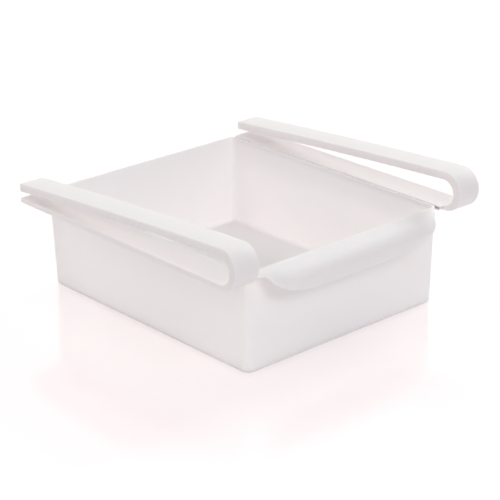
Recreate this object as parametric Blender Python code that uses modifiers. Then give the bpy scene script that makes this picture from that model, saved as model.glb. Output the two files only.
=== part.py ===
# Fridge shelf drawer: a moulded bin that slides out between two clip rails.
# Each rail is a spring strip bent into a U lying on its side. Its open end takes the
# front edge of a fridge shelf, and a ledge on its inner side carries the bin's flange.
# Metres, +Z up, +X to the right of someone facing the front, +Y towards the back.
# The origin is the middle of the bin's underside.

import math

import bmesh
import bpy
from mathutils import Matrix

# Driving dimensions of the bin. The flanges and the lip start one step below the rim.
rim_width = 0.1293
rim_depth = 0.1568
rim_height = 0.0517
side_draft = 0.0010
end_draft = 0.00125
wall = 0.0014
floor_thickness = 0.0018
corner_radius = 0.0042
foot_radius = 0.0010
rim_step = 0.0003

# Flange along each side of the rim, which runs on the clip rail's ledge
flange_reach = 0.0021
flange_thickness = 0.0009
flange_front_setback = 0.0062
flange_back_setback = 0.0048
flange_nose = 0.0012

# Pull lip, rolled forward and down from the front rim
lip_end_margin = 0.00365
lip_reach = 0.0108
lip_fold = 0.0075
lip_drop = 0.0137
lip_plan_turn = 0.0175
lip_sweep = 0.0315
lip_tip_inset = 0.0045
lip_tip_depth = 0.0022
lip_end_tuck = 0.0004
lip_hollow_tuck = 0.0005

# Clip rails
clip_width = 0.0146
lower_arm_thickness = 0.0028
upper_arm_thickness = 0.0045
bend_thickness = 0.0050
bend_overhang = 0.0121
back_setback = 0.0008
slot_back_gap = 0.0031
slot_front_gap = 0.0134
arm_bow = 0.0006
ledge_thickness = 0.0008
edge_fillet = 0.0008

# Clearances
running_clearance = 0.0003
side_clearance = 0.0003
shelf_clearance = 0.0003

# Counts
corner_segments = 6
foot_segments = 2
fold_segments = 8
bend_segments = 24
arm_segments = 10
sweep_segments = 24
fillet_segments = 2

# How far a cutter runs past what it cuts, how deep a joined shape sinks in,
# and how close two points of one outline count as the same point
overrun = 0.0100
weld_depth = 0.0006
same_point = 0.000001

front_face_y = -rim_depth / 2
lip_half_length = rim_width / 2 - lip_end_margin
flange_outer_x = rim_width / 2 + flange_reach
lip_top_z = rim_height - rim_step
flange_top_z = rim_height - rim_step
flange_underside_z = flange_top_z - flange_thickness
clip_inner_x = flange_outer_x + side_clearance
clip_outer_x = clip_inner_x + clip_width
ledge_top_z = flange_underside_z - running_clearance
lower_arm_top_z = rim_height + shelf_clearance
lower_arm_bottom_z = lower_arm_top_z - lower_arm_thickness
clip_back_y = rim_depth / 2 - back_setback
clip_front_y = front_face_y - bend_overhang


def clear_scene():
    for leftover in list(bpy.data.objects):
        bpy.data.objects.remove(leftover, do_unlink=True)


def new_collection(name):
    collection = bpy.data.collections.new(name)
    bpy.context.scene.collection.children.link(collection)
    return collection


def plastic(name, colour, roughness):
    material = bpy.data.materials.new(name)
    material.use_nodes = True
    shader = material.node_tree.nodes["Principled BSDF"]
    shader.inputs["Base Color"].default_value = (*colour, 1.0)
    shader.inputs["Roughness"].default_value = roughness
    shader.inputs["Metallic"].default_value = 0.0
    return material


def object_from(shape, name, collection):
    mesh = bpy.data.meshes.new(name)
    shape.to_mesh(mesh)
    shape.free()
    made = bpy.data.objects.new(name, mesh)
    collection.objects.link(made)
    return made


def as_helper(helper):
    helper.hide_render = True
    helper.display_type = "WIRE"
    return helper


def block(name, low, high, collection):
    """A box between two opposite corners."""
    shape = bmesh.new()
    bmesh.ops.create_cube(shape, size=1.0)
    for vert in shape.verts:
        for axis in range(3):
            middle = (low[axis] + high[axis]) / 2
            vert.co[axis] = middle + vert.co[axis] * (high[axis] - low[axis])
    return object_from(shape, name, collection)


def round_edges(target, radius, segments, chosen):
    """Rounds the edges of a box-like object that the chosen test picks."""
    shape = bmesh.new()
    shape.from_mesh(target.data)
    edges = [edge for edge in shape.edges if chosen(edge)]
    bmesh.ops.bevel(
        shape,
        geom=edges,
        offset=radius,
        offset_type="OFFSET",
        segments=segments,
        profile=0.5,
        affect="EDGES",
    )
    shape.to_mesh(target.data)
    shape.free()


def joined(target, other, operation):
    """Adds a Boolean of the helper object to the target."""
    step = target.modifiers.new(operation.lower() + " " + other.name, "BOOLEAN")
    step.operation = operation
    step.object = other
    step.solver = "EXACT"


def outline_plate(name, points, half_thickness, turn, collection):
    """A flat outline drawn as a curve, thickened both ways and turned into place."""
    curve = bpy.data.curves.new(name + " outline", "CURVE")
    curve.dimensions = "2D"
    curve.fill_mode = "BOTH"
    curve.extrude = half_thickness
    spline = curve.splines.new("POLY")
    spline.points.add(len(points) - 1)
    for point, (across, up) in zip(spline.points, points):
        point.co = (across, up, 0.0, 1.0)
    spline.use_cyclic_u = True
    drawn = bpy.data.objects.new(name + " outline", curve)
    collection.objects.link(drawn)
    drawn.rotation_euler = turn
    bpy.context.view_layer.update()
    graph = bpy.context.evaluated_depsgraph_get()
    mesh = bpy.data.meshes.new_from_object(drawn.evaluated_get(graph))
    shape = bmesh.new()
    shape.from_mesh(mesh)
    bmesh.ops.remove_doubles(shape, verts=shape.verts, dist=same_point)
    # Each flat side becomes a single face, so that a bevel can follow its whole edge.
    for side in (-1, 1):
        flat = [face for face in shape.faces if face.normal.z * side > 0.5]
        bmesh.ops.dissolve_faces(shape, faces=flat)
    shape.transform(drawn.matrix_world)
    bmesh.ops.recalc_face_normals(shape, faces=shape.faces)
    if shape.calc_volume(signed=True) < 0:
        bmesh.ops.reverse_faces(shape, faces=shape.faces)
    bpy.data.objects.remove(drawn, do_unlink=True)
    bpy.data.meshes.remove(mesh)
    return object_from(shape, name, collection)


# Bin


def tub(name, half_base, half_rim, bottom_z, top_z, radii, collection):
    """A solid with drafted sides, rounded upright corners and a rounded foot."""
    shape = bmesh.new()
    bmesh.ops.create_cube(shape, size=2.0)
    for vert in shape.verts:
        at_top = vert.co.z > 0
        half = half_rim if at_top else half_base
        vert.co.x *= half[0]
        vert.co.y *= half[1]
        vert.co.z = top_z if at_top else bottom_z
    made = object_from(shape, name, collection)
    corner, foot = radii

    def is_upright(edge):
        return abs(edge.verts[0].co.z - edge.verts[1].co.z) > foot

    def is_at_foot(edge):
        return all(vert.co.z < bottom_z + foot for vert in edge.verts)

    round_edges(made, corner, corner_segments, is_upright)
    round_edges(made, foot, foot_segments, is_at_foot)
    return made


def lip_stations():
    """Places along the front from end to end, close together towards the ends."""
    sweep_start_x = lip_half_length - lip_tip_inset - lip_sweep
    run = lip_half_length - sweep_start_x
    right = [lip_half_length - lip_tip_inset]
    for step in range(sweep_segments + 1):
        angle = math.radians(90) * step / sweep_segments
        right.append(sweep_start_x + run * math.sin(angle))
    right.sort()
    return [-x for x in reversed(right)] + right


def lip_depth_at(x):
    """How far the lower edge lies under the lip's top: level in the middle, and rising
    along a quarter ellipse to the shallow tips."""
    tip_x = lip_half_length - lip_tip_inset
    share = min(1.0, max(0.0, (abs(x) - tip_x + lip_sweep) / lip_sweep))
    return lip_tip_depth + (lip_drop - lip_tip_depth) * math.sqrt(1 - share * share)


def lip_fall(x, inset, tuck):
    """One side of the lip's skin at x: from the rim forward and down a quarter ellipse,
    then straight down to the lower edge. Its reach fades out at the ends in plan."""
    half_length = lip_half_length - inset
    share = min(1.0, max(0.0, (abs(x) - half_length + lip_plan_turn) / lip_plan_turn))
    reach = (lip_reach + tuck - inset) * math.sqrt(1 - share * share)
    start_y = front_face_y + tuck
    top_z = lip_top_z - inset
    fold = lip_fold - inset
    fall = lip_depth_at(x) - inset
    steps = fold_segments if fall > fold else fold_segments + 1
    end_angle = math.acos(max(0.0, 1 - fall / fold))
    points = []
    for step in range(steps + 1):
        angle = end_angle * step / steps
        z = top_z - fold * (1 - math.cos(angle))
        points.append((start_y - reach * math.sin(angle), z))
    if fall > fold:
        points.append((start_y - reach, top_z - fall))
    return points


def pull_lip(helpers):
    """A rounded hood along the front rim, open below, so that fingers reach behind it.
    It is a loft, because its section changes all the way to the ends, and both its root
    and its ends are tucked inside the bin's front wall."""
    root_y = front_face_y + weld_depth
    shape = bmesh.new()
    rings = []
    for x in lip_stations():
        outside = lip_fall(x, 0.0, lip_end_tuck)
        inside = lip_fall(x, wall, lip_hollow_tuck)
        ring = [(root_y, lip_top_z), *outside, *reversed(inside), (root_y, lip_top_z - wall)]
        rings.append([shape.verts.new((x, y, z)) for y, z in ring])
    for before, after in zip(rings, rings[1:]):
        for i in range(len(before)):
            j = (i + 1) % len(before)
            shape.faces.new((before[i], before[j], after[j], after[i]))
    shape.faces.new(rings[0])
    shape.faces.new(rings[-1])
    bmesh.ops.recalc_face_normals(shape, faces=shape.faces)
    return as_helper(object_from(shape, "pull lip", helpers))


def side_flange(name, side, helpers):
    """The narrow rail along one side of the rim that slides on the clip rail's ledge."""
    inner_x = rim_width / 2 - weld_depth
    low = [side * inner_x, front_face_y + flange_front_setback, flange_underside_z]
    high = [side * flange_outer_x, rim_depth / 2 - flange_back_setback, flange_top_z]
    low[0], high[0] = sorted((low[0], high[0]))
    flange = block(name, low, high, helpers)

    def is_nose(edge):
        outside = all(abs(vert.co.x) > inner_x + weld_depth for vert in edge.verts)
        upright = abs(edge.verts[0].co.z - edge.verts[1].co.z) > weld_depth
        return outside and upright

    round_edges(flange, flange_nose, fillet_segments, is_nose)
    return as_helper(flange)


def drawer_bin(parts, helpers):
    half_rim = (rim_width / 2, rim_depth / 2)
    half_base = (half_rim[0] - side_draft, half_rim[1] - end_draft)
    outside_radii = (corner_radius, foot_radius)
    body = tub("drawer_bin", half_base, half_rim, 0.0, rim_height, outside_radii, parts)
    # The hollow follows the outside one wall thickness in, and runs out past the rim.
    rise_share = (rim_height + overrun) / rim_height
    floor_share = floor_thickness / rim_height
    hollow_rim = (
        half_base[0] + side_draft * rise_share - wall,
        half_base[1] + end_draft * rise_share - wall,
    )
    hollow_base = (
        half_base[0] + side_draft * floor_share - wall,
        half_base[1] + end_draft * floor_share - wall,
    )
    hollow = tub(
        "bin hollow",
        hollow_base,
        hollow_rim,
        floor_thickness,
        rim_height + overrun,
        (corner_radius - wall, foot_radius),
        helpers,
    )
    joined(body, pull_lip(helpers), "UNION")
    joined(body, side_flange("left flange", -1, helpers), "UNION")
    joined(body, side_flange("right flange", 1, helpers), "UNION")
    joined(body, as_helper(hollow), "DIFFERENCE")
    body.data.materials.append(plastic("drawer_plastic", (0.86, 0.85, 0.85), 0.38))


# Clip rails


def bend(front_y, bottom_z, radius):
    """A half circle from its lowest point round the front to its highest."""
    points = []
    for step in range(bend_segments + 1):
        angle = math.radians(270 - 180 * step / bend_segments)
        y = front_y + radius + radius * math.cos(angle)
        points.append((y, bottom_z + radius + radius * math.sin(angle)))
    return points


def arm(start, back_z):
    """A gently bowed run from the top of the bend to the open end."""
    points = []
    for step in range(1, arm_segments + 1):
        share = step / arm_segments
        along = start[0] + (clip_back_y - start[0]) * share
        chord_z = start[1] + (back_z - start[1]) * share
        points.append((along, chord_z + 4 * arm_bow * share * (1 - share)))
    return points


def clip_outline():
    """The strip from the side, as points of distance towards the back and height."""
    bend_height = lower_arm_thickness + slot_front_gap + upper_arm_thickness
    outer = bend(clip_front_y, lower_arm_bottom_z, bend_height / 2)
    inner = bend(clip_front_y + bend_thickness, lower_arm_top_z, slot_front_gap / 2)
    slot_back_z = lower_arm_top_z + slot_back_gap
    outer_arm = arm(outer[-1], slot_back_z + upper_arm_thickness)
    inner_arm = arm(inner[-1], slot_back_z)
    lower_arm = [(clip_back_y, lower_arm_top_z), (clip_back_y, lower_arm_bottom_z)]
    return [*outer, *outer_arm, *reversed(inner_arm), *reversed(inner), *lower_arm]


def clip_rail(name, side, parts, helpers):
    strip = outline_plate(
        name,
        clip_outline(),
        clip_width / 2,
        (math.radians(90), 0.0, math.radians(90)),
        parts,
    )
    middle_x = side * (clip_inner_x + clip_outer_x) / 2
    strip.data.transform(Matrix.Translation((middle_x, 0.0, 0.0)))
    fillet = strip.modifiers.new("edge fillet", "BEVEL")
    fillet.width = edge_fillet
    fillet.segments = fillet_segments
    fillet.limit_method = "ANGLE"
    fillet.angle_limit = math.radians(60)
    # The ledge sinks into the strip past its fillet, so that the two join cleanly.
    ledge_inner_x = rim_width / 2 + side_clearance
    ledge_sink_x = clip_inner_x + 2 * edge_fillet
    low = [side * ledge_inner_x, front_face_y, ledge_top_z - ledge_thickness]
    high = [side * ledge_sink_x, clip_back_y - edge_fillet, ledge_top_z]
    low[0], high[0] = sorted((low[0], high[0]))
    ledge = block(name + " ledge", low, high, helpers)
    joined(strip, as_helper(ledge), "UNION")
    strip.data.materials.append(plastic(name + "_plastic", (0.88, 0.87, 0.87), 0.34))


clear_scene()
organizer = new_collection("fridge shelf organizer")
cutters = new_collection("cutters and joined shapes")
cutters.hide_render = True
drawer_bin(organizer, cutters)
clip_rail("left_clip_rail", -1, organizer, cutters)
clip_rail("right_clip_rail", 1, organizer, cutters)
for piece in organizer.objects:
    piece.data.shade_smooth()
    piece.data.set_sharp_from_angle(angle=math.radians(35))
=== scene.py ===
# %% [markdown]
# # A white fridge drawer, dressed for its photograph
#
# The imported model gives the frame: a bin that slides between two clip rails. Everything
# here is in metres and in that same frame, with +Z up, +X to the right of someone who
# faces the front, and the middle of the bin's underside at the origin.

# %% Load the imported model
import math

import bmesh
import bpy
from mathutils import Matrix, Vector


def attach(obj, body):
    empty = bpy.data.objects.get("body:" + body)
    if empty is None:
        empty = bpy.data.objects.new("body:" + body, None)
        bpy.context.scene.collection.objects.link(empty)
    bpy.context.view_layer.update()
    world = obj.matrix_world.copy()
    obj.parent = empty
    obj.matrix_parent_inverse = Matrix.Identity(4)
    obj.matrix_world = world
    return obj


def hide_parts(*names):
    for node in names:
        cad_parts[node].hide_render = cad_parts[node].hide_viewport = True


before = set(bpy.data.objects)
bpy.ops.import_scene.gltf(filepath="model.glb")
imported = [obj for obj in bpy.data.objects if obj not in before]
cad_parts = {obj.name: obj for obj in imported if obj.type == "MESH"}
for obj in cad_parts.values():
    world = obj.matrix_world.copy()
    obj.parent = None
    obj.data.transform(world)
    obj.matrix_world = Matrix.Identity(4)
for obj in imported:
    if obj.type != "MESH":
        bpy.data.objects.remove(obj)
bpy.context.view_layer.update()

# %% [markdown]
# ## Where the camera stands
#
# A product photo is easiest to match when its camera comes first, because every later
# choice is then judged from the right place. This one stands about 0.9 m from the drawer,
# to its left and a little above it, with a long lens that keeps the edges nearly parallel.
# It could be tied to a target with a constraint, but three measured angles say the same
# thing, and nothing can pull them out of place.

# %% Camera
camera_place = Vector((-0.56007, -0.64195, 0.36734))
camera_yaw = math.radians(48.545)
camera_pitch = math.radians(22.02)
camera_roll = math.radians(-0.74)
sensor_width_mm = 36.0
lens_mm = 127.7


def camera_turn():
    """The camera's right, up and backward directions as a turning matrix."""
    forward = Vector((
        math.cos(camera_pitch) * math.cos(camera_yaw),
        math.cos(camera_pitch) * math.sin(camera_yaw),
        -math.sin(camera_pitch),
    ))
    level_right = Vector((math.sin(camera_yaw), -math.cos(camera_yaw), 0.0))
    level_up = level_right.cross(forward)
    right = math.cos(camera_roll) * level_right + math.sin(camera_roll) * level_up
    up = math.cos(camera_roll) * level_up - math.sin(camera_roll) * level_right
    return Matrix((right, up, -forward)).transposed()


lens = bpy.data.cameras.new("photo_camera")
lens.sensor_width = sensor_width_mm
lens.lens = lens_mm
lens.clip_start = 0.05
lens.clip_end = 20.0
camera = bpy.data.objects.new("photo_camera", lens)
bpy.context.scene.collection.objects.link(camera)
camera.matrix_world = Matrix.Translation(camera_place) @ camera_turn().to_4x4()
bpy.context.scene.camera = camera
print("camera is", round(camera_place.length, 3), "m from the origin")

# %% [markdown]
# ## Satin white plastic
#
# Household drawers are moulded in polypropylene. It looks white, yet light goes a
# millimetre or two into it, so thin walls glow softly and shadows on it are never hard. Its
# skin is satin, because the steel mould was. A plain grey-white colour would look like
# painted board, so the shader gets three things: some light scattered under the surface, a
# faint cloudiness of the colour, and a very fine grain in the bump and the roughness.
#
# The same recipe serves both finishes, with other numbers. Each pattern reads Object
# coordinates, so it stays where it is when the drawer slides.

# %% Patterns of the plastic
noise_low = 0.3
noise_high = 0.7


def noise(nodes, links, place, scale, detail):
    """A noise pattern laid on Object coordinates."""
    texture = nodes.new("ShaderNodeTexNoise")
    links.new(place.outputs["Object"], texture.inputs["Vector"])
    texture.inputs["Scale"].default_value = scale
    texture.inputs["Detail"].default_value = detail
    return texture.outputs["Fac"]


def ranged(nodes, links, source, low, high):
    """Spreads a noise pattern, which rarely leaves its middle, between low and high."""
    span = nodes.new("ShaderNodeMapRange")
    links.new(source, span.inputs["Value"])
    span.inputs["From Min"].default_value = noise_low
    span.inputs["From Max"].default_value = noise_high
    span.inputs["To Min"].default_value = low
    span.inputs["To Max"].default_value = high
    return span.outputs["Result"]


# %% The plastic recipe
cloud_detail = 3.0
grain_scale = 2600.0
grain_detail = 2.0
grain_strength = 0.12
grain_height = 0.00004
glow_radius = (1.0, 0.95, 0.93)
plastic_ior = 1.49


def moulded_plastic(name, clear, cloudy, cloud_scale, roughness, glow, glow_depth):
    """Satin plastic: a cloudy colour, a fine grain, and some light under the skin."""
    material = bpy.data.materials.new(name)
    material.use_nodes = True
    nodes, links = material.node_tree.nodes, material.node_tree.links
    shader = nodes["Principled BSDF"]
    place = nodes.new("ShaderNodeTexCoord")

    clouds = noise(nodes, links, place, cloud_scale, cloud_detail)
    colour = nodes.new("ShaderNodeMix")
    colour.data_type = "RGBA"
    colour.inputs["A"].default_value = (*clear, 1.0)
    colour.inputs["B"].default_value = (*cloudy, 1.0)
    links.new(ranged(nodes, links, clouds, 0.0, 1.0), colour.inputs["Factor"])
    links.new(colour.outputs["Result"], shader.inputs["Base Color"])

    grain = noise(nodes, links, place, grain_scale, grain_detail)
    links.new(ranged(nodes, links, grain, *roughness), shader.inputs["Roughness"])
    relief = nodes.new("ShaderNodeBump")
    relief.inputs["Strength"].default_value = grain_strength
    relief.inputs["Distance"].default_value = grain_height
    links.new(grain, relief.inputs["Height"])
    links.new(relief.outputs["Normal"], shader.inputs["Normal"])

    shader.inputs["Subsurface Weight"].default_value = glow
    shader.inputs["Subsurface Radius"].default_value = glow_radius
    shader.inputs["Subsurface Scale"].default_value = glow_depth
    shader.inputs["IOR"].default_value = plastic_ior
    print(name, "has", len(nodes), "nodes")
    return material


# %% The two finishes
bin_plastic = moulded_plastic(
    "bin_plastic", clear=(0.970, 0.918, 0.918), cloudy=(0.977, 0.926, 0.926),
    cloud_scale=55.0, roughness=(0.54, 0.62), glow=1.0, glow_depth=0.0032,
)
rail_plastic = moulded_plastic(
    "rail_plastic", clear=(0.960, 0.922, 0.918), cloudy=(0.967, 0.930, 0.926),
    cloud_scale=70.0, roughness=(0.58, 0.66), glow=0.7, glow_depth=0.0016,
)

# %% [markdown]
# ## From a bmesh to a finished piece
#
# Each piece below is shaped in a bmesh and then handed over here. The first helper points
# all faces outwards, shades them smoothly up to an edge angle, gives the piece its plastic,
# hangs it on the body that carries it, and hides the CAD node that it stands for.
#
# A moulding such as a bin with its lip is one lump of plastic. Shapes that only run into
# each other could stand for it, but the light that goes into the plastic would stop at the
# walls hidden inside and leave dark seams. So a Boolean union gives them one closed skin.
# It leaves some faces with many corners, and those are cut into triangles at once, because
# cut later they can come out with edges that more than two triangles share.

# %% Handing a piece over
smooth_up_to = math.radians(40)
same_point = 0.000001


def finished(shape, name, body, node, plastic):
    """Makes the shaped mesh an object of the scene that rides on its body."""
    bmesh.ops.remove_doubles(shape, verts=shape.verts, dist=same_point)
    bmesh.ops.recalc_face_normals(shape, faces=shape.faces)
    open_edges = sum(1 for edge in shape.edges if not edge.is_manifold)
    mesh = bpy.data.meshes.new(name)
    shape.to_mesh(mesh)
    shape.free()
    piece = bpy.data.objects.new(name, mesh)
    bpy.context.scene.collection.objects.link(piece)
    mesh.materials.append(plastic)
    mesh.shade_smooth()
    mesh.set_sharp_from_angle(angle=smooth_up_to)
    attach(piece, body)
    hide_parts(node)
    print(name, len(mesh.polygons), "faces,", open_edges, "open edges")


# %% Fusing shapes into one moulding
most_corners = 4


def fused(shapes):
    """One closed skin round shapes that run into each other."""
    blocks = []
    for shape in shapes:
        bmesh.ops.remove_doubles(shape, verts=shape.verts, dist=same_point)
        bmesh.ops.recalc_face_normals(shape, faces=shape.faces)
        mesh = bpy.data.meshes.new("block")
        shape.to_mesh(mesh)
        shape.free()
        blocks.append(bpy.data.objects.new("block", mesh))
        bpy.context.scene.collection.objects.link(blocks[-1])
    whole = blocks[0]
    for block in blocks[1:]:
        union = whole.modifiers.new("union", "BOOLEAN")
        union.operation = "UNION"
        union.solver = "EXACT"
        union.object = block
    seen = whole.evaluated_get(bpy.context.evaluated_depsgraph_get())
    moulding = bmesh.new()
    moulding.from_mesh(seen.to_mesh())
    seen.to_mesh_clear()
    for block in blocks:
        bpy.data.objects.remove(block)
    many_sided = [face for face in moulding.faces if len(face.verts) > most_corners]
    bmesh.ops.triangulate(moulding, faces=many_sided, ngon_method="BEAUTY")
    return moulding


# %% Rounding edges and making plain blocks
def rounded(shape, edges, radius, segments):
    """Rounds the chosen edges."""
    bmesh.ops.bevel(
        shape, geom=edges, offset=radius, offset_type="OFFSET", segments=segments,
        profile=0.5, affect="EDGES", material=-1, clamp_overlap=True,
    )


def block_between(corner, opposite):
    """A block that fills the room between two opposite corners."""
    shape = bmesh.new()
    bmesh.ops.create_cube(shape, size=1.0)
    size = [abs(far - near) for near, far in zip(corner, opposite)]
    middle = [(near + far) / 2 for near, far in zip(corner, opposite)]
    bmesh.ops.scale(shape, vec=size, verts=shape.verts)
    bmesh.ops.translate(shape, vec=middle, verts=shape.verts)
    return shape


# %% [markdown]
# ## The bin
#
# The bin is one shot of plastic: four walls 1.4 mm thick that lean out by about a degree,
# so that the moulding leaves its tool, on a floor of 1.8 mm. It could be a box with a
# Solidify modifier, but then the rim would be as sharp as the box. Here a block is tapered
# and rounded first, its top is inset by the wall, and that inner face is pushed down to the
# floor. The rim and the inner foot are rounded last, when their edges exist.

# %% Sizes of the bin
rim_half = (0.06465, 0.0784)
foot_half = (0.06365, 0.07715)
rim_height = 0.0517
wall = 0.0014
floor_thickness = 0.0018
corner_radius = 0.0042
corner_steps = 10
outer_foot_radius = 0.0010
outer_foot_steps = 4
inner_foot_radius = 0.0026
inner_foot_steps = 5
rim_radius = 0.0004
rim_steps = 3
front_face_y = -rim_half[1]
level_above = 0.9
upright_below = 0.5
print("bin at the rim:", 2 * rim_half[0], "by", 2 * rim_half[1], "m")


def leaning_out(vert):
    """Puts a vertex of a block on the bin's leaning walls, at the height it has."""
    share = vert.co.z / rim_height
    for axis in (0, 1):
        half = foot_half[axis] + (rim_half[axis] - foot_half[axis]) * share
        vert.co[axis] = math.copysign(half, vert.co[axis])


# %% Shape of the bin
def level_faces(shape):
    return [face for face in shape.faces if face.normal.z > level_above]


def bin_shape():
    shape = bmesh.new()
    bmesh.ops.create_cube(shape, size=2.0)
    for vert in shape.verts:
        vert.co.z = rim_height if vert.co.z > 0 else 0.0
        leaning_out(vert)
    uprights = [e for e in shape.edges if abs(e.verts[0].co.z - e.verts[1].co.z) > wall]
    rounded(shape, uprights, corner_radius, corner_steps)
    foot = [e for e in shape.edges if max(v.co.z for v in e.verts) < wall]
    rounded(shape, foot, outer_foot_radius, outer_foot_steps)

    top = level_faces(shape)
    bmesh.ops.inset_region(shape, faces=top, thickness=wall, use_even_offset=True)
    inner_top = [face for face in level_faces(shape) if len(face.verts) > most_corners]
    pushed = bmesh.ops.extrude_face_region(shape, geom=inner_top)
    bmesh.ops.delete(shape, geom=inner_top, context="FACES_ONLY")
    sunk = [item for item in pushed["geom"] if isinstance(item, bmesh.types.BMVert)]
    drop = rim_height - floor_thickness
    for vert in sunk:
        vert.co.z -= drop
        for axis in (0, 1):
            lean = (rim_half[axis] - foot_half[axis]) * drop / rim_height
            vert.co[axis] -= math.copysign(lean, vert.co[axis])
    inner_foot = [
        e for e in shape.edges
        if all(abs(v.co.z - floor_thickness) < same_point for v in e.verts)
    ]
    rounded(shape, inner_foot, inner_foot_radius, inner_foot_steps)
    rim = [
        e for e in shape.edges
        if all(abs(v.co.z - rim_height) < same_point for v in e.verts)
        and any(abs(f.normal.z) < upright_below for f in e.link_faces)
    ]
    rounded(shape, rim, rim_radius, rim_steps)
    return shape


# %% [markdown]
# ## The pull lip
#
# The front rim rolls forward and down into a shallow hood, open below, so that fingers
# reach up behind it. From the front it is a half moon: level in the middle, sweeping up to
# both ends a little more flatly than a quarter circle, and melting into the wall there. The
# part that hangs leans back towards the wall.
#
# Its section changes all the way along, so neither a spin nor a straight extrude can make
# it. A flat grid can: each of its points is laid on the roll, as a sheet is laid over a
# former. One grid makes the outer skin and a slightly smaller one the inner skin, and the
# two are bridged round their edges. Each skin starts a little inside the wall, and the two
# not equally far, because faces that share a plane fuse badly.

# %% Sizes of the lip
lip_half_length = 0.0610
lip_below_rim = 0.00003
lip_top_z = rim_height - lip_below_rim
outer_skin_tuck = 0.0004
inner_skin_tuck = 0.0005
lip_reach = 0.0108
lip_fold = 0.0075
lip_drop = 0.0135
lip_plan_turn = 0.0175
lip_sweep = 0.0280
lip_sweep_power = 1.75
lip_tip_inset = 0.0050
lip_tip_depth = 0.0022
lip_root_depth = 0.0006
lip_lean = 0.22
lip_columns = 120
lip_rows = 16
print("lip stands out", lip_reach, "m and hangs", lip_drop, "m")


def quarter_round(share, power=2.0):
    """Falls from 1 to 0 while share goes from 0 to 1, along a quarter circle where the
    power is 2 and along a flatter curve where it is less."""
    share = min(1.0, max(0.0, share))
    return (1.0 - share ** power) ** (1.0 / power)


def lip_depth_at(x):
    """How far the lower edge hangs below the lip's top."""
    sweep_start = lip_half_length - lip_tip_inset - lip_sweep
    swept = quarter_round((abs(x) - sweep_start) / lip_sweep, lip_sweep_power)
    return lip_tip_depth + (lip_drop - lip_tip_depth) * swept


def laid_on_lip(along, down, inset, tuck):
    """Where a point of the flat sheet comes to lie: along runs from -1 to 1 across the
    front and down from 0 at the wall to 1 at the lower edge."""
    x = lip_half_length * math.sin(along * math.radians(90))
    half_length = lip_half_length - inset
    turned = quarter_round((abs(x) - half_length + lip_plan_turn) / lip_plan_turn)
    reach = (lip_reach + tuck - inset) * turned
    fold = lip_fold - inset
    fall = lip_depth_at(x) - inset
    straight = max(0.0, fall - fold)
    bent = math.acos(max(0.0, 1.0 - min(fall, fold) / fold))
    way = down * (bent * fold + straight)
    angle = min(bent, way / fold)
    hanging = max(0.0, way - bent * fold)
    y = front_face_y + tuck - reach * math.sin(angle) + lip_lean * hanging
    z = lip_top_z - inset - fold * (1.0 - math.cos(angle)) - hanging
    return Vector((x, y, z))


# %% Shape of the lip
def lip_skin(shape, inset, tuck):
    """One skin of the lip, with a first row that runs back into the wall. Returns its edge."""
    made = bmesh.ops.create_grid(
        shape, x_segments=lip_columns, y_segments=lip_rows + 1, size=1.0
    )
    for vert in made["verts"]:
        row = round((1.0 - vert.co.y) / 2.0 * (lip_rows + 1))
        along = vert.co.x
        vert.co = laid_on_lip(along, max(0, row - 1) / lip_rows, inset, tuck)
        if row == 0:
            vert.co.y = front_face_y + lip_root_depth
    edges = {edge for vert in made["verts"] for edge in vert.link_edges}
    return [edge for edge in edges if edge.is_boundary]


def lip_shape():
    shape = bmesh.new()
    outer = lip_skin(shape, 0.0, outer_skin_tuck)
    inner = lip_skin(shape, wall, inner_skin_tuck)
    bmesh.ops.bridge_loops(shape, edges=outer + inner)
    return shape


# %% [markdown]
# ## The flanges
#
# A narrow shelf stands out along each side of the rim. It is what the drawer hangs by: it
# lies on the ledge of the clip rail and slides along it. It could be extruded from the rim,
# but its ends stop short of the bin's corners, so a long block that reaches into the wall
# is simpler. Its outer corners are rounded in plan, so that it finds its way into the rail,
# and its edges are broken a little. It is the last form of this moulding, so bin, lip and
# flanges are fused straight after it.

# %% Sizes of the flanges
flange_stands_out = 0.0021
flange_root_depth = 0.0006
flange_front_gap = 0.0062
flange_back_gap = 0.0048
flange_below_rim = 0.0007
flange_thickness = 0.0008
flange_outer_x = rim_half[0] + flange_stands_out
flange_inner_x = rim_half[0] - flange_root_depth
flange_front_y = front_face_y + flange_front_gap
flange_back_y = rim_half[1] - flange_back_gap
flange_top_z = rim_height - flange_below_rim
flange_underside_z = flange_top_z - flange_thickness
flange_nose_radius = 0.0012
flange_nose_steps = 6
broken_edge = 0.0002
broken_edge_steps = 2
print("flange stands out", flange_stands_out, "m beside the rim")


# %% Shape of a flange
def flange_shape(side):
    shape = block_between(
        (side * flange_inner_x, flange_front_y, flange_underside_z),
        (side * flange_outer_x, flange_back_y, flange_top_z),
    )
    noses = [
        e for e in shape.edges
        if all(abs(v.co.x) > rim_half[0] for v in e.verts)
        and abs(e.verts[0].co.z - e.verts[1].co.z) > broken_edge
    ]
    rounded(shape, noses, flange_nose_radius, flange_nose_steps)
    sharp = [e for e in shape.edges if e.calc_face_angle(0.0) > smooth_up_to]
    rounded(shape, sharp, broken_edge, broken_edge_steps)
    return shape


# %% The bin's moulding, fused and handed over
bin_moulding = fused([bin_shape(), lip_shape(), flange_shape(-1), flange_shape(1)])
finished(bin_moulding, "drawer_bin_body", "drawer", "drawer_bin", bin_plastic)

# %% [markdown]
# ## The clip rails
#
# Each rail is a strip as wide as a thumb, bent into a U that lies on its side. The shelf's
# front edge goes into its open end, the thin lower arm lies under the shelf, and the thick
# upper arm presses down on it. The bend could be spun as one section, but the strip gets
# thicker through it, so its outer and its inner line are drawn one by one: a vertex is
# extruded along the lower arm, spun round the bend and extruded back along the upper arm.
# The two lines are bridged into the strip's side, and that side is extruded to the width.

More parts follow.
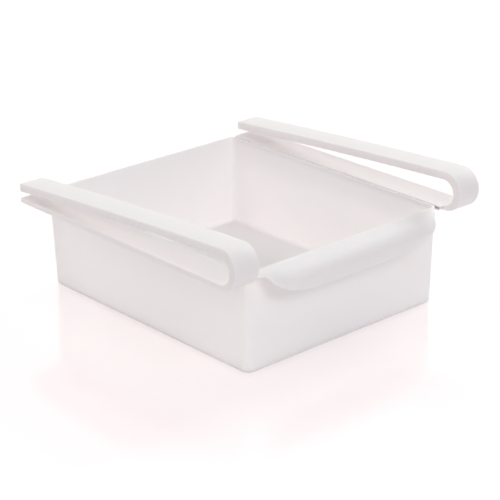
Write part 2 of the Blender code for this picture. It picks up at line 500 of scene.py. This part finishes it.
# %% Sizes of the rails
clip_inner_x = 0.06705
clip_width = 0.0146
lower_arm_top_z = 0.0520
lower_arm_bottom_z = 0.0492
clip_front_y = -0.0905
clip_back_y = 0.0776
bend_thickness = 0.0050
slot_front_gap = 0.0134
slot_back_gap = 0.0031
upper_arm_thickness = 0.0045
arm_bow = 0.0006
rail_edge_radius = 0.0007
rail_edge_steps = 5
square_above = math.radians(60)
lower_arm_steps = 8
bend_steps = 40
upper_arm_steps = 20
print("slot is", slot_front_gap, "m at the bend and", slot_back_gap, "m at its open end")


# %% Shape of a rail
def strip_line(shape, start_z, front_y, radius, end_z):
    """One line of the strip, from the back of the lower arm to the end of the upper arm."""
    line = [shape.verts.new((0.0, clip_back_y, start_z))]
    run = clip_back_y - front_y - radius

    def drawn_on(by):
        bmesh.ops.extrude_vert_indiv(shape, verts=[line[-1]])
        shape.verts.ensure_lookup_table()
        line.append(shape.verts[-1])
        line[-1].co = line[-2].co + Vector(by)

    for _ in range(lower_arm_steps):
        drawn_on((0.0, -run / lower_arm_steps, 0.0))
    centre = (0.0, front_y + radius, start_z + radius)
    bmesh.ops.spin(
        shape, geom=[line[-1]], cent=centre, axis=(1.0, 0.0, 0.0), dvec=(0.0, 0.0, 0.0),
        angle=-math.radians(180), steps=bend_steps, use_merge=False, use_duplicate=False,
    )
    shape.verts.ensure_lookup_table()
    line.extend(shape.verts[-bend_steps:])
    top_z = line[-1].co.z
    for step in range(1, upper_arm_steps + 1):
        share = step / upper_arm_steps
        bow = 4 * arm_bow * share * (1 - share)
        here = top_z + (end_z - top_z) * share + bow
        drawn_on((0.0, run / upper_arm_steps, here - line[-1].co.z))
    return line


def rail_shape(side):
    shape = bmesh.new()
    bend_height = lower_arm_top_z - lower_arm_bottom_z + slot_front_gap + upper_arm_thickness
    slot_back_z = lower_arm_top_z + slot_back_gap
    strip_line(
        shape, lower_arm_bottom_z, clip_front_y, bend_height / 2, slot_back_z + upper_arm_thickness
    )
    strip_line(
        shape, lower_arm_top_z, clip_front_y + bend_thickness, slot_front_gap / 2, slot_back_z
    )
    bmesh.ops.bridge_loops(shape, edges=shape.edges)
    wide = bmesh.ops.extrude_face_region(shape, geom=shape.faces[:], use_keep_orig=True)
    far = [item for item in wide["geom"] if isinstance(item, bmesh.types.BMVert)]
    bmesh.ops.translate(shape, vec=(clip_width, 0.0, 0.0), verts=far)
    start_x = clip_inner_x if side > 0 else -clip_inner_x - clip_width
    bmesh.ops.translate(shape, vec=(start_x, 0.0, 0.0), verts=shape.verts)
    bmesh.ops.recalc_face_normals(shape, faces=shape.faces)
    square = [e for e in shape.edges if e.calc_face_angle(0.0) > square_above]
    rounded(shape, square, rail_edge_radius, rail_edge_steps)
    return shape


# %% [markdown]
# ## The channels
#
# The inner edge of each lower arm is a channel, open towards the bin. Its ledge carries the
# flange, with a play of 0.2 mm that a hand feels in such a drawer, and its cover closes it
# from above and ends just short of the rim, so that the arm and the rim look like one flat
# band. It could be cut out of a thicker arm, but the real rail is one moulding, so two
# blocks that reach well into the strip and are fused with it do the same. The cover's top
# lies a hair below the strip's, because faces that share a plane fuse badly.

# %% Sizes of the channels
channel_root_depth = 0.0020
channel_back_gap = 0.0008
ledge_gap = 0.0003
flange_play = 0.0002
cover_gap = 0.00006
cover_overhang = 0.0012
cover_below_arm = 0.00002
channel_sink_x = clip_inner_x + channel_root_depth
channel_back_y = clip_back_y - channel_back_gap
ledge_inner_x = rim_half[0] + ledge_gap
ledge_top_z = flange_underside_z - flange_play
ledge_thickness = 0.0007
cover_inner_x = rim_half[0] + cover_gap
cover_front_y = front_face_y - cover_overhang
cover_top_z = lower_arm_top_z - cover_below_arm
cover_thickness = 0.0008
print("flange plays", flange_play, "m over the ledge")


def channel_block(side, inner_x, front_y, top_z, thickness):
    """A long thin block that stands out of the lower arm towards the bin."""
    return block_between(
        (side * inner_x, front_y, top_z - thickness),
        (side * channel_sink_x, channel_back_y, top_z),
    )


# %% The rails' mouldings, fused and handed over
for side, side_name in ((-1, "left"), (1, "right")):
    ledge = channel_block(side, ledge_inner_x, front_face_y, ledge_top_z, ledge_thickness)
    cover = channel_block(side, cover_inner_x, cover_front_y, cover_top_z, cover_thickness)
    rail_moulding = fused([rail_shape(side), ledge, cover])
    finished(
        rail_moulding, side_name + "_rail", "rails", side_name + "_clip_rail",
        rail_plastic,
    )

# %% [markdown]
# ## The floor
#
# The photo was taken on a white sheet with a faint polish: the drawer stands on a soft
# mirror image that fades as it leaves the base. A plain white board would show only a
# shadow, and a mirror would show too much, so the board gets a weak, slightly rough gloss
# over a white matt base. Its whiteness comes from its colour and from a little light of its
# own that only the camera sees, and not from stronger lamps.

# %% The matt board
white = (1.0, 1.0, 1.0, 1.0)
board_colour = (0.90, 0.855, 0.86, 1.0)
board_colour_seen = (0.40, 0.40, 0.40, 1.0)
board_glow_seen = (0.78, 0.70, 0.705, 1.0)


def matt_board(nodes, links):
    """The board as it lights the drawer and, brighter, as the camera sees it."""
    matt = nodes.new("ShaderNodeBsdfDiffuse")
    matt.inputs["Color"].default_value = board_colour
    thin_matt = nodes.new("ShaderNodeBsdfDiffuse")
    thin_matt.inputs["Color"].default_value = board_colour_seen
    glow = nodes.new("ShaderNodeEmission")
    glow.inputs["Color"].default_value = board_glow_seen
    lifted = nodes.new("ShaderNodeAddShader")
    links.new(thin_matt.outputs["BSDF"], lifted.inputs[0])
    links.new(glow.outputs["Emission"], lifted.inputs[1])
    seen = nodes.new("ShaderNodeLightPath")
    board = nodes.new("ShaderNodeMixShader")
    links.new(seen.outputs["Is Camera Ray"], board.inputs["Fac"])
    links.new(matt.outputs["BSDF"], board.inputs[1])
    links.new(lifted.outputs["Shader"], board.inputs[2])
    return board.outputs["Shader"]


# %% The polish, which fades with the distance from the foot of the bin
polish_share = 0.48
polish_reach = 0.13
polish_roughness = 0.12


def vector_step(nodes, links, operation, source):
    """One step of arithmetic on a coordinate."""
    step = nodes.new("ShaderNodeVectorMath")
    step.operation = operation
    links.new(source, step.inputs[0])
    return step


def polish_round_foot(nodes, links):
    """The share of the polish, from full under the bin to none at its reach."""
    place = nodes.new("ShaderNodeTexCoord")
    folded = vector_step(nodes, links, "ABSOLUTE", place.outputs["Object"])
    beyond = vector_step(nodes, links, "SUBTRACT", folded.outputs["Vector"])
    beyond.inputs[1].default_value = (*foot_half, 0.0)
    outside = vector_step(nodes, links, "MAXIMUM", beyond.outputs["Vector"])
    distance = vector_step(nodes, links, "LENGTH", outside.outputs["Vector"])
    fade = nodes.new("ShaderNodeMapRange")
    fade.interpolation_type = "SMOOTHSTEP"
    fade.inputs["From Max"].default_value = polish_reach
    fade.inputs["To Min"].default_value = polish_share
    fade.inputs["To Max"].default_value = 0.0
    links.new(distance.outputs["Value"], fade.inputs["Value"])
    return fade.outputs["Result"]


# %% The floor itself
floor_half = 4.0


def white_board():
    """A matt white board under a weak, slightly rough gloss."""
    material = bpy.data.materials.new("white_board")
    material.use_nodes = True
    nodes, links = material.node_tree.nodes, material.node_tree.links
    nodes.remove(nodes["Principled BSDF"])
    gloss = nodes.new("ShaderNodeBsdfGlossy")
    gloss.inputs["Color"].default_value = white
    gloss.inputs["Roughness"].default_value = polish_roughness
    polished = nodes.new("ShaderNodeMixShader")
    links.new(polish_round_foot(nodes, links), polished.inputs["Fac"])
    links.new(matt_board(nodes, links), polished.inputs[1])
    links.new(gloss.outputs["BSDF"], polished.inputs[2])
    links.new(polished.outputs["Shader"], nodes["Material Output"].inputs["Surface"])
    return material


board = bmesh.new()
bmesh.ops.create_grid(board, x_segments=1, y_segments=1, size=floor_half)
board_mesh = bpy.data.meshes.new("floor")
board.to_mesh(board_mesh)
board.free()
board_mesh.materials.append(white_board())
floor = bpy.data.objects.new("floor", board_mesh)
bpy.context.scene.collection.objects.link(floor)
print("floor is", 2 * floor_half, "m across")

# %% [markdown]
# ## The light
#
# The photo was lit as in a white tent: soft light from all sides, and no face darker than
# four fifths. One strong lamp could light the drawer too, but it would leave hard shadows.
# So the world gives the tent, faintly bluish, and five soft lamps, slightly warm, give it
# its shape.
#
# The key stands at the right above the drawer and lets the left clip shade its own lower
# arm. One lamp is high in front, one is high at the left and a little behind, and a wide
# and weak one hangs above. The last stands low behind, and is what makes the plastic look
# like plastic: it shines through the back wall, so that the inside glows while the floor
# of the bin stays darker.

# %% World
tent_strength = 0.315
tent_tint = (0.857, 0.872, 1.0)


def white_tent():
    """A soft bluish light from all sides, which the camera and gloss see as plain white."""
    world = bpy.data.worlds.new("white_tent")
    bpy.context.scene.world = world
    world.use_nodes = True
    nodes, links = world.node_tree.nodes, world.node_tree.links
    background = nodes["Background"]
    seen = nodes.new("ShaderNodeLightPath")
    direct = nodes.new("ShaderNodeMath")
    direct.operation = "MAXIMUM"
    links.new(seen.outputs["Is Camera Ray"], direct.inputs[0])
    links.new(seen.outputs["Is Glossy Ray"], direct.inputs[1])
    level = nodes.new("ShaderNodeMapRange")
    level.inputs["To Min"].default_value = tent_strength
    level.inputs["To Max"].default_value = 1.0
    links.new(direct.outputs["Value"], level.inputs["Value"])
    links.new(level.outputs["Result"], background.inputs["Strength"])
    tint = nodes.new("ShaderNodeMix")
    tint.data_type = "RGBA"
    tint.inputs["A"].default_value = (*tent_tint, 1.0)
    tint.inputs["B"].default_value = white
    links.new(direct.outputs["Value"], tint.inputs["Factor"])
    links.new(tint.outputs["Result"], background.inputs["Color"])


white_tent()
print("tent strength", tent_strength)

# %% Lamps
lamp_distance = 4.0


def soft_lamp(name, toward, size, watts, colour):
    """A square lamp that faces the drawer from the given direction."""
    lamp = bpy.data.lights.new(name, "AREA")
    lamp.shape = "SQUARE"
    lamp.size = size
    lamp.energy = watts
    lamp.color = colour
    stand = bpy.data.objects.new(name, lamp)
    bpy.context.scene.collection.objects.link(stand)
    direction = Vector(toward).normalized()
    stand.location = direction * lamp_distance
    stand.rotation_euler = direction.to_track_quat("Z", "Y").to_euler()
    print(name, watts, "W")


soft_lamp("key_right", (1.0, 0.2, 0.58), 1.3, 67.0, (0.99, 1.0, 0.95))
soft_lamp("front_high", (-0.1, -1.0, 0.85), 1.6, 43.0, (1.0, 0.95, 0.94))
soft_lamp("left_high", (-1.0, 0.3, 0.8), 2.0, 32.0, (1.0, 0.89, 0.81))
soft_lamp("above", (0.0, 0.0, 1.0), 3.0, 14.0, (0.99, 1.0, 0.79))
soft_lamp("low_back", (-0.1, 1.0, 0.16), 2.0, 52.0, (0.99, 1.0, 0.925))
bpy.context.scene.view_settings.view_transform = "Standard"
